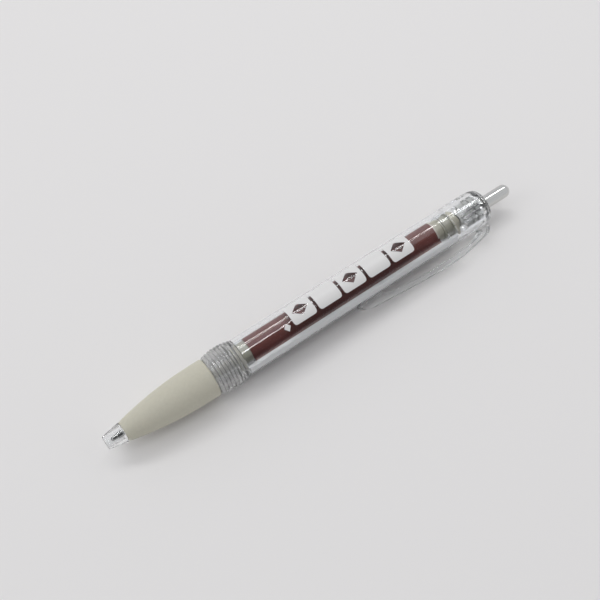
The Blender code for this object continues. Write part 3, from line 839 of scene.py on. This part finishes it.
@dataclass
class Ring(SubAssembly):
    """The clear ribbed ring between the grip and the barrel."""

    step: float = 0.10 * MM
    ribs: int = 9
    depth: float = 0.34 * MM
    thread_bore: float = 4.20 * MM
    spigot: float = 4.65 * MM
    spigot_bore: float = 4.20 * MM
    web_bore: float = 1.95 * MM
    bush: float = 1.6 * MM
    web: float = 1.2 * MM

    def build(self) -> None:
        """Turns the ring with round-topped ribs."""
        line = self.line
        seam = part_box("barrel")[0].x - 0.1 * MM
        length = seam - line.ring
        swell = line.ring_radius - line.grip_radius - self.step
        ribs: Outline = []
        steps = 8 * self.ribs
        for index in range(steps + 1):
            share = index / steps
            crest = line.grip_radius + self.step + swell * (1 - (2 * share - 1) ** 2)
            rise = abs(math.sin(math.pi * share * self.ribs))
            ribs.append((line.ring + share * length, crest - self.depth * (1 - rise)))
        spigot_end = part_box("ribbed_ring")[1].x
        cavity = seam - self.bush
        outline = [
            *ribs,
            (seam, self.spigot), (spigot_end, self.spigot), (spigot_end, self.spigot_bore),
            (cavity, self.spigot_bore), (cavity, self.web_bore), (cavity - self.web, self.web_bore),
            (cavity - self.web, self.thread_bore), (line.ring, self.thread_bore),
        ]
        ring = settled(lathe("ribbed_collar", outline, 112), centre=line.centre, smooth=50.0)
        dressed(ring, self.finishes.clear_ring, "barrel", ("ribbed_ring",))
        faced(ring, self.finishes.clear, lambda face: face.center.x > seam)


@dataclass
class Barrel(SubAssembly):
    """The clear barrel with its lengthwise slot, and the white pattern printed on it."""

    bore: float = 4.75 * MM
    slot: float = 2.4 * MM
    print_turn: float = math.radians(-5.5)
    print_start: float = 17.4 * MM
    print_length: float = 43.6 * MM
    print_half: float = 3.5 * MM
    print_gap: float = 0.01 * MM
    print_thickness: float = 0.04 * MM
    tiles: int = 5
    tile_gap: float = 1.0 * MM
    diamond: Pair = (2.7 * MM, 2.1 * MM)
    mark_offset: float = 15.2 * MM
    mark_side: float = 2.75 * MM
    mark_half: float = 1.1 * MM
    tile_rounding: float = 1.0 * MM
    wall_reach: float = 0.03 * MM
    wall_facing: float = 0.9

    def build(self) -> None:
        """Models the barrel and its print."""
        radius = self.line.grip_radius
        outer_edge = math.asin(self.slot / 2 / radius)
        inner_edge = math.asin(self.slot / 2 / self.bore)
        section = arc(radius, outer_edge, 2 * math.pi - outer_edge, 128)
        section += arc(self.bore, 2 * math.pi - inner_edge, inner_edge, 128)
        section = [(-across, out) for across, out in section]
        low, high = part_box("barrel")
        tube = bar_along("clear_barrel", section, low.x, high.x)
        settled(tube, SLOT_TURN, self.line.centre)
        dressed(tube, self.finishes.clear, "barrel", ("barrel",))
        faced(tube, self.finishes.strip, self._in_slot)
        self._imprint()

    def _in_slot(self, face: bpy.types.MeshPolygon) -> bool:
        """Tells whether a face is one of the slot's two walls, which are frosted."""
        side = Vector((math.cos(SLOT_TURN), math.sin(SLOT_TURN)))
        out = Vector((-side.y, side.x))
        place = face.center.yz - Vector(self.line.centre)
        at_wall = abs(abs(place.dot(side)) - self.slot / 2) < self.wall_reach and place.dot(out) > 0
        return at_wall and abs(face.normal.yz.dot(side)) > self.wall_facing

    def _printed(self, name: str, shape: Outline, windows: list[Outline]) -> Piece:
        """Cuts one shape, less its windows, out of a thin ring round the barrel."""
        reach = Vector((0, 0, 2 * self.line.grip_radius))
        block = prism(f"{name}_block", shape, Plane.ALONG_AND_ACROSS, reach)
        for window in windows:
            hole = prism(f"{name}_window", window, Plane.ALONG_AND_ACROSS, 2 * reach)
            hole.location.z = -MM
            merged(block, hole, "DIFFERENCE")
        low, high = min(shape)[0] - MM, max(shape)[0] + MM
        inner = self.line.grip_radius + self.print_gap
        outer = inner + self.print_thickness
        skin = lathe(name, [(low, inner), (low, outer), (high, outer), (high, inner)], 160)
        merged(skin, block, "INTERSECT")
        return skin

    def _imprint(self) -> None:
        """Prints a row of tiles, every second one with a diamond opening, and a small diamond beside them."""
        line = self.line
        start = line.barrel + self.print_start
        pitch = (self.print_length + self.tile_gap) / self.tiles
        length = pitch - self.tile_gap
        half = self.print_half
        shapes = []
        for index in range(self.tiles):
            at = start + index * pitch
            tile = [(at, -half), (at + length, -half), (at + length, half), (at, half)]
            windows = [] if index % 2 else [diamond(at + length / 2, 0.0, *self.diamond)]
            shapes.append(self._printed(f"tile_{index}", softened(tile, self.tile_rounding), windows))
        mark = diamond(line.barrel + self.mark_offset, -self.mark_side, self.mark_half, self.mark_half)
        shapes.append(self._printed("small_mark", mark, []))
        skin = joined(shapes, "white_print")
        settled(skin, self.print_turn, line.centre)
        dressed(skin, self.finishes.imprint, "barrel")


@dataclass
class Spool(SubAssembly):
    """The banner wound on its core, the bushes that carry it and the rewind spring."""

    core_bore: float = 2.85 * MM
    core_radius: float = 3.3 * MM
    roll_radius: float = 3.75 * MM
    margin: float = 0.45 * MM
    wire: float = 0.24 * MM
    spring_turns: float = 10.0

    def build(self) -> None:
        """Models and dresses the pieces."""
        self._core()
        self._roll()
        for name in ("front_bush", "rear_bush"):
            refinished(name, self.finishes.natural)
        centre = self.line.spool_centre
        self.wound("rewind_coil", "rewind_spring", "barrel", self.wire, self.spring_turns, centre)

    def _core(self) -> None:
        """Turns the core tube."""
        low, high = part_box("core_tube")
        outline = [
            (low.x, self.core_bore), (low.x, self.core_radius), (high.x, self.core_radius),
            (high.x, self.core_bore),
        ]
        core = lathe("spool_core", outline)
        bevelled(core, 0.05 * MM)
        settled(core, centre=self.line.spool_centre)
        dressed(core, self.finishes.natural, "spool", ("core_tube",))

    def _roll(self) -> None:
        """Makes the wound film, its pale printed margin and its dark end faces, whose colour is partly the
        film's own dark edge and partly painted shade.
        """
        low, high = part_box("banner_roll")
        inner = self.core_radius + 0.05 * MM
        layers = 5
        pitch = (self.roll_radius - inner) / layers

        def face(x: float, out: bool) -> Outline:
            """The end of the winding: each layer stands a hair past the next."""
            points: Outline = []
            for layer in range(layers):
                low_r, high_r = inner + layer * pitch, inner + (layer + 1) * pitch
                step = 0.05 * MM * (layer % 2) * (1 if out else -1)
                points += [(x + step, low_r + 0.01 * MM), (x + step, high_r - 0.01 * MM)]
            return points

        front = face(low.x + 0.06 * MM, False)
        back = list(reversed(face(high.x - 0.06 * MM, True)))
        roll = lathe("wound_film", [*front, *back], 128)
        settled(roll, centre=self.line.spool_centre)
        dressed(roll, self.finishes.film, "spool", ("banner_roll",))
        # The near-black end faces are partly the film's dark edge and partly painted shade.
        faced(roll, self.finishes.edges, lambda side: abs(side.normal.x) > 0.7)
        margin = lathe("film_margin_band", [
            (high.x - self.margin - 0.06 * MM, self.roll_radius - 0.01 * MM),
            (high.x - self.margin - 0.06 * MM, self.roll_radius + 0.012 * MM),
            (high.x - 0.06 * MM, self.roll_radius + 0.012 * MM),
            (high.x - 0.06 * MM, self.roll_radius - 0.01 * MM),
        ], 128)
        settled(margin, centre=self.line.spool_centre)
        dressed(margin, self.finishes.margin, "spool")


@dataclass
class Strip(SubAssembly):
    """The bar that fills the slot, its keel and the free film between roll and keel."""

    half: float = 1.1 * MM
    low: float = 4.85 * MM
    top: float = 6.0 * MM
    keel_half: float = 0.6 * MM
    keel_low: float = 4.10 * MM
    offset: float = 0.8 * MM
    roll_radius: float = 3.85 * MM
    film: float = 0.10 * MM

    def build(self) -> None:
        """Models the strip and its film."""
        low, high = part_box("pull_strip")
        edge = math.asin(self.half / self.top)
        section = [(-self.half, self.low), *arc(self.top, -edge, edge, 10), (self.half, self.low)]
        bar = bar_along("pull_bar", softened(section, 0.18 * MM), low.x, high.x)
        web_low, web_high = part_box("banner_web")
        under = self.low + 0.1 * MM
        keel_section = [
            (-self.keel_half, self.keel_low), (-self.keel_half, under), (self.keel_half, under),
            (self.keel_half, self.keel_low),
        ]
        keel = bar_along("keel", keel_section, web_low.x, web_high.x)
        merged(bar, keel, "UNION")
        settled(bar, SLOT_TURN, self.line.centre)
        dressed(bar, self.finishes.strip, "strip", ("pull_strip",))
        self._web(web_low.x, web_high.x)

    def _web(self, start: float, end: float) -> None:
        """Makes the free film, which runs from the roll out to the keel in the slot."""
        head = self.keel_low
        mouth = head - 0.9 * MM
        leaving = math.acos(self.roll_radius / (mouth + self.offset))
        side = Vector((math.sin(leaving), math.cos(leaving)))
        foot = side * self.roll_radius - Vector((0.0, self.offset))
        path = [tuple(foot), (foot.x * 0.45, foot.y + 0.55 * (mouth - foot.y))]
        path += [(0.0, mouth + (head - mouth) * step / 24) for step in range(25)]
        back = [(across + self.film, out) for across, out in reversed(path)]
        web = bar_along("free_film", path + back, start, end)
        settled(web, SLOT_TURN, self.line.centre)
        web.data.materials.append(self.finishes.film)
        middle = Vector((0.0, *self.line.centre))
        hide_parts("banner_web")
        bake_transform(web)
        LOG.info("%s draws out between barrel and strip", web.name)


@dataclass
class Cap(SubAssembly):
    """The clear cap with its spigot and guide grooves."""

    spigot: float = 4.65 * MM
    cavity: float = 4.20 * MM
    swell: float = 0.15 * MM
    shoulder: float = 1.2 * MM
    end_wall: float = 2.3 * MM
    guide: float = 2.35 * MM
    grooves: int = 8
    groove_width: float = 1.2 * MM
    groove_reach: float = 9.4 * MM
    hole: float = 2.25 * MM

    def build(self) -> None:
        """Turns the cap and cuts its inside."""
        line = self.line
        low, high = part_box("cap")
        start = line.cap + 0.1 * MM
        length = line.end - start
        radius = line.grip_radius
        top = radius - self.shoulder / 4
        side = flowing([
            (start, radius), (start + 0.4 * length, radius + self.swell),
            (line.end - 2 * self.shoulder, radius), (line.end - self.shoulder, top),
        ], 5)
        end = arc(self.shoulder, 0.0, math.pi / 2, 8, (line.end - self.shoulder, top - self.shoulder))
        outline = [(low.x, self.cavity), (low.x, self.spigot), (start, self.spigot), *side, *end[1:],
                   (line.end, self.hole), (line.end - self.end_wall, self.hole),
                   (line.end - self.end_wall, self.cavity)]
        shell = lathe("clear_cap", outline, 112)
        sleeve_start = line.end - self.groove_reach
        sleeve = lathe("guide", [
            (sleeve_start, self.hole), (sleeve_start, self.cavity + 0.1 * MM),
            (line.end - self.end_wall + 0.1 * MM, self.cavity + 0.1 * MM),
            (line.end - self.end_wall + 0.1 * MM, self.hole),
        ], 64)
        section = splined(self.guide, self.cavity, self.grooves, self.groove_width)
        cutter = bar_along("grooves", section, sleeve_start - MM, sleeve_start - MM + self.groove_reach)
        merged(sleeve, cutter, "DIFFERENCE")
        merged(shell, sleeve, "UNION")
        settled(shell, centre=line.centre, smooth=30.0)
        dressed(shell, self.finishes.clear, "barrel", ("cap",))


@dataclass
class Clip(SubAssembly):
    """The clear clip: an arm that bows out from the cap and comes back to a pad on the barrel."""

    turn: float = math.radians(117.5)
    width: float = 4.2 * MM
    bow: float = 4.65 * MM
    arm: float = 1.6 * MM
    pad: float = 8.0 * MM
    pad_height: float = 2.9 * MM
    root: float = 3.2 * MM
    seat_gap: float = 0.3 * MM
    rounding: float = 0.5 * MM

    def outline(self) -> Outline:
        """Returns the arm seen from its side, from tip to root and back."""
        low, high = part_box("clip")
        tip, end = low.x, high.x
        radius = self.line.grip_radius
        seat, top = radius + self.seat_gap, radius + self.pad_height
        bow_at = tip + 0.65 * (end - tip)
        pad_end = tip + self.pad
        outer = flowing([
            (tip, seat + 0.35 * MM), (tip + self.pad / 4, top - 0.6 * MM), (pad_end, top + 0.3 * MM),
            (bow_at, radius + self.bow), (end - self.root, radius + self.bow - self.arm),
            (end, seat + self.arm / 2),
        ], 8)
        inner = flowing([
            (end - self.root, seat + self.arm / 2),
            (bow_at + self.pad, radius + self.bow - 1.35 * self.arm),
            (bow_at - self.pad, radius + self.bow - 1.15 * self.arm),
            (pad_end + self.arm, top - self.arm),
        ], 8)
        return [*outer, (end - 0.3 * MM, seat), (end - self.root, seat), *inner, (pad_end, seat),
                (tip + 0.3 * MM, seat)]

    def build(self) -> None:
        """Models the clip with rounded edges."""
        arm = drawn("clear_clip", self.outline(), Plane.ALONG_AND_OUT, filled=True)
        bpy.ops.transform.translate(value=(0, -self.width / 2, 0))
        bpy.ops.mesh.extrude_region_move(TRANSFORM_OT_translate={"value": (0, self.width, 0)})
        closed_up(arm)
        bevelled(arm, self.rounding, 5, 50.0)
        settled(arm, self.turn, self.line.centre, smooth=50.0)
        dressed(arm, self.finishes.clear, "clip", ("clip",))


@dataclass
class ClickParts(SubAssembly):
    """The chrome button, the toothed plunger and the cam rotor."""

    radius: float = 2.15 * MM
    wall: float = 0.45 * MM
    bore_depth: float = 7.0 * MM
    fins: int = 4
    fin_width: float = 0.8 * MM
    fin_radius: float = 3.9 * MM
    fin_length: float = 1.2 * MM
    tooth: float = 0.5 * MM
    cup: float = 1.55 * MM
    cup_depth: float = 2.5 * MM

    def build(self) -> None:
        """Models and dresses the pieces."""
        self._button()
        self._rotor()
        refinished("cam_plunger", self.finishes.cam)

    def _button(self) -> None:
        """Turns the chrome button with its round end and a soft inner rim."""
        low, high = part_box("push_button")
        bore = self.radius - self.wall
        dome = arc(self.radius, 0.0, math.pi / 2, 20, (high.x - self.radius, 0.0))
        outline = [
            (low.x, bore + 0.05 * MM), (low.x, self.radius - 0.12 * MM), (low.x + 0.12 * MM, self.radius),
            *dome[:-1],
            (high.x, 0.0), (low.x + self.bore_depth, 0.0), (low.x + self.bore_depth, bore),
        ]
        button = settled(lathe("chrome_button", outline, 96), centre=self.line.centre, smooth=40.0)
        dressed(button, self.finishes.chrome, "button", ("push_button",))

    def _rotor(self) -> None:
        """Turns the cam rotor with a waist, a cup for the refill and fins."""
        low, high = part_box("cam_rotor")
        end = high.x - self.tooth
        outline = [
            (low.x, self.cup), (low.x, self.radius - 0.1 * MM), (low.x + 0.1 * MM, self.radius),
            (end - 2.6 * MM, self.radius), (end - 2.5 * MM, self.radius - 0.25 * MM),
            (end - 1.5 * MM, self.radius - 0.25 * MM), (end - 1.4 * MM, self.radius), (end, self.radius),
            (end + 0.6 * self.tooth, 0.6 * self.radius), (end + 0.6 * self.tooth, 0.0),
            (low.x + self.cup_depth, 0.0), (low.x + self.cup_depth, self.cup),
        ]
        rotor = lathe("cam_rotor_body", outline, 64)
        section = splined(self.radius - 0.1 * MM, self.fin_radius, self.fins, self.fin_width)
        fins = bar_along("fins", section, end - self.fin_length, end - 0.1 * MM)
        merged(rotor, fins, "UNION")
        bevelled(rotor, 0.05 * MM, 2, 50.0)
        settled(rotor, centre=self.line.centre)
        dressed(rotor, self.finishes.cam, "refill", ("cam_rotor",))


@dataclass
class Refill(SubAssembly):
    """The ink tube, the metal point and the ball."""

    stem: float = 1.15 * MM
    lip: float = 0.575 * MM
    socket: float = 0.525 * MM
    nipple: float = 0.75 * MM
    cone: float = 4.2 * MM
    channel: float = 0.3 * MM

    def build(self) -> None:
        """Models the point and the ball, and dresses the tube and the ink."""
        refinished("refill_tube", self.finishes.natural)
        refinished("ink_column", self.finishes.ink)
        self._point()
        self._ball()

    def _point(self) -> None:
        """Turns the metal point: lip, nipple, cone and stem, with its ink channel."""
        low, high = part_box("refill_point")
        cone_end = low.x + self.cone - 0.4 * MM
        outline = [
            (low.x, self.socket), (low.x, self.lip - 0.02 * MM),
            (low.x + 0.06 * MM, self.lip + 0.02 * MM), (low.x + 1.5 * MM, self.nipple),
            (low.x + 1.6 * MM, self.nipple + 0.10 * MM), (cone_end, self.stem - 0.05 * MM),
            (cone_end + 0.05 * MM, self.stem), (high.x, self.stem), (high.x, self.channel),
            (low.x + 1.0 * MM, self.channel), (low.x + 0.65 * MM, self.socket),
        ]
        point = settled(lathe("metal_point", outline, 72), centre=self.line.centre, smooth=30.0)
        dressed(point, self.finishes.point, "refill", ("refill_point",))

    def _ball(self) -> None:
        """Makes the ball that writes."""
        low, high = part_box("writing_ball")
        centre = (low + high) / 2
        bpy.ops.object.select_all(action="DESELECT")
        bpy.ops.mesh.primitive_ico_sphere_add(subdivisions=3, radius=(high.x - low.x) / 2, location=centre)
        ball = bpy.context.active_object
        ball.name = "point_ball"
        bpy.ops.object.mode_set(mode="EDIT")
        bpy.ops.mesh.select_all(action="SELECT")
        bpy.ops.mesh.subdivide(number_cuts=1, smoothness=1.0)
        closed_up(ball, 1e-8)
        whole_object_selected(ball)
        bpy.ops.object.transform_apply(location=True, rotation=True, scale=True)
        bpy.ops.object.shade_smooth()
        dressed(ball, self.finishes.ball, "ball", ("writing_ball",))


@dataclass
class Studio:
    """The pale floor, the soft lamps and the camera."""

    line: PenLine
    camera_offset: Triple = (-3.04 * MM, -99.8 * MM, 234.8 * MM)
    aim_offset: Triple = (68.16 * MM, 4.5 * MM, 2.0 * MM)
    lens: float = 54.3
    roll: float = math.radians(-1.15)
    clear_bounces: int = 24
    glossy_bounces: int = 8
    floor_color: tuple[float, float, float, float] = (0.82, 0.805, 0.795, 1.0)
    floor_roughness: float = 0.75
    sky: tuple[float, float, float, float] = (0.96, 0.97, 1.0, 1.0)
    room: float = 0.71
    dark_side: float = 0.10
    figure: Triple = (0.10, -0.643, 0.766)
    figure_spread: Pair = (30.0, 40.0)
    figure_side: Pair = (0.42, 0.50)
    lamps: list[tuple[str, Triple, Pair, float]] = field(default_factory=lambda: [
        ("strip_far", (0.30, 0.49, 0.815), (1.00, 0.055), 2.6),
        ("strip_near", (0.12, -0.12, 0.94), (0.45, 0.045), 0.75),
        ("behind_nose", (-0.85, 0.25, 0.65), (0.50, 0.50), 1.2),
    ])

    def build(self) -> None:
        """Sets the floor, the world, the lamps and the camera."""
        bpy.ops.object.select_all(action="DESELECT")
        bpy.ops.mesh.primitive_plane_add(size=4.0, location=(0, 0, 0))
        floor = bpy.context.active_object
        floor.name = "pale_floor"
        surface = bpy.data.materials.new("pale_floor")
        surface.use_nodes = True
        shader = surface.node_tree.nodes["Principled BSDF"]
        NodeSheet.fill(shader, Base_Color=self.floor_color, Roughness=self.floor_roughness)
        floor.data.materials.append(surface)
        self._room()
        for name, place, size, power in self.lamps:
            self._lamp(name, Vector(place), size, power)
        self._camera()

    def _room(self) -> None:
        """Makes the room's even light, less the dark shape of someone who stands at the table."""
        world = bpy.data.worlds.new("soft_room")
        bpy.context.scene.world = world
        world.use_nodes = True
        sheet = NodeSheet(world.node_tree)
        back = sheet.fill(world.node_tree.nodes["Background"], Color=self.sky)
        where = sheet.add("ShaderNodeTexCoord")
        toward = sheet.add("ShaderNodeVectorMath", operation="DOT_PRODUCT")
        sheet.link(where.outputs["Generated"], toward.inputs[0])
        toward.inputs[1].default_value = Vector(self.figure).normalized()
        parts = sheet.add("ShaderNodeSeparateXYZ")
        sheet.link(where.outputs["Generated"], parts.inputs[0])
        core, edge = (math.cos(math.radians(angle)) for angle in self.figure_spread)
        inside = self._eased(sheet, toward.outputs["Value"], (edge, core), (0.0, 1.0))
        before = self._eased(sheet, parts.outputs["X"], self.figure_side, (1.0, 0.0))
        share = sheet.math("MULTIPLY", inside, before)
        level = self._eased(sheet, share, (0.0, 1.0), (self.room, self.dark_side))
        sheet.link(level, back.inputs["Strength"])

    @staticmethod
    def _eased(sheet: NodeSheet, value: Socket, source: Pair,
               target: Pair) -> Socket:
        """Maps a value from one range to another with soft ends.

        Args:
            sheet: The tree's nodes.
            value: The value to map.
            source: Its range.
            target: The range to map it to.

        Returns:
            The mapped value.
        """
        level = sheet.add("ShaderNodeMapRange", interpolation_type="SMOOTHSTEP")
        sheet.link(value, level.inputs["Value"])
        sheet.fill(level, From_Min=source[0], From_Max=source[1], To_Min=target[0], To_Max=target[1])
        return level.outputs["Result"]

    def _lamp(self, name: str, place: Vector, size: Pair, power: float) -> None:
        """Adds one rectangular lamp that looks at the pen.

        Args:
            name: The lamp's name.
            place: Where it stands.
            size: Its two sides.
            power: Its power in watts.
        """
        lamp = bpy.data.lights.new(name, "AREA")
        lamp.shape = "RECTANGLE"
        lamp.size, lamp.size_y = size
        lamp.energy = power
        holder = bpy.data.objects.new(name, lamp)
        bpy.context.scene.collection.objects.link(holder)
        holder.location = place
        holder.rotation_euler = (-place).to_track_quat("-Z", "Y").to_euler()

    def _camera(self) -> None:
        """Places the camera before and above the nose."""
        base = Vector((self.line.nose, *self.line.centre))
        camera = bpy.data.cameras.new("camera")
        camera.lens = self.lens
        camera.sensor_width = 36.0
        camera.clip_start = 0.01
        holder = bpy.data.objects.new("camera", camera)
        bpy.context.scene.collection.objects.link(holder)
        holder.location = base + Vector(self.camera_offset)
        look = base + Vector(self.aim_offset) - holder.location
        turn = look.to_track_quat("-Z", "Y") @ Quaternion((0.0, 0.0, 1.0), self.roll)
        holder.rotation_euler = turn.to_euler()
        bpy.context.scene.camera = holder
        bpy.context.scene.view_settings.view_transform = "Standard"
        cycles = bpy.context.scene.cycles
        cycles.max_bounces = cycles.transmission_bounces = cycles.transparent_max_bounces = self.clear_bounces
        cycles.glossy_bounces = self.glossy_bounces


def main() -> None:
    """Builds the pen's looks, piece by piece, and the studio round it."""
    logging.basicConfig(level=logging.INFO, format="%(name)s: %(message)s")
    line = PenLine.read()
    Studio(line).build()
    finishes = Finishes()
    for part in (FrontSection, Ring, Barrel, Spool, Strip, Cap, Clip, ClickParts, Refill):
        part(line, finishes).build()
        LOG.info("%s is built", part.__name__)


if __name__ == "__main__":
    main()
